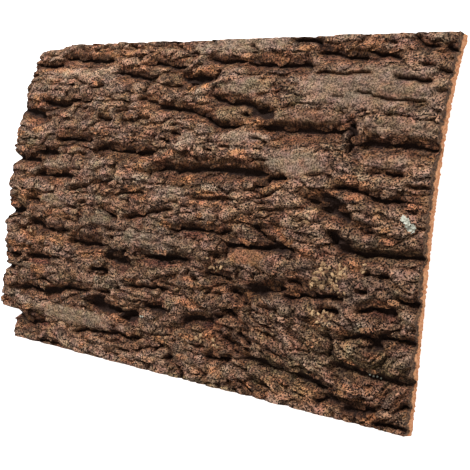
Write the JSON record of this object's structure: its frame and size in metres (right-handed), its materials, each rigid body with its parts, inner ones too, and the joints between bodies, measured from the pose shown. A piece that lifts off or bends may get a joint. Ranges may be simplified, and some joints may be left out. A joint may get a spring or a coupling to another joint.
{
  "type": "bark panel",
  "caption": "Thick furrowed bark, sawn into a rough rectangle and slightly arched across the grain, used as a rugged background or climbing surface.",
  "frame": {"origin": "centre of the bounding box's underside, level with the two flat feet along the long edges", "axes": "+X along the grain towards the sawn end, +Y across the grain towards the upper edge, +Z out of the bark face"},
  "size_m": [0.6, 0.4, 0.0419],
  "materials": {
    "furrowed_bark": "dull, rough brown bark with orange-brown inner bark where it is cut or flaked"
  },
  "bodies": {
    "root": {"bark_panel": "furrowed_bark"}
  },
  "joints": []
}
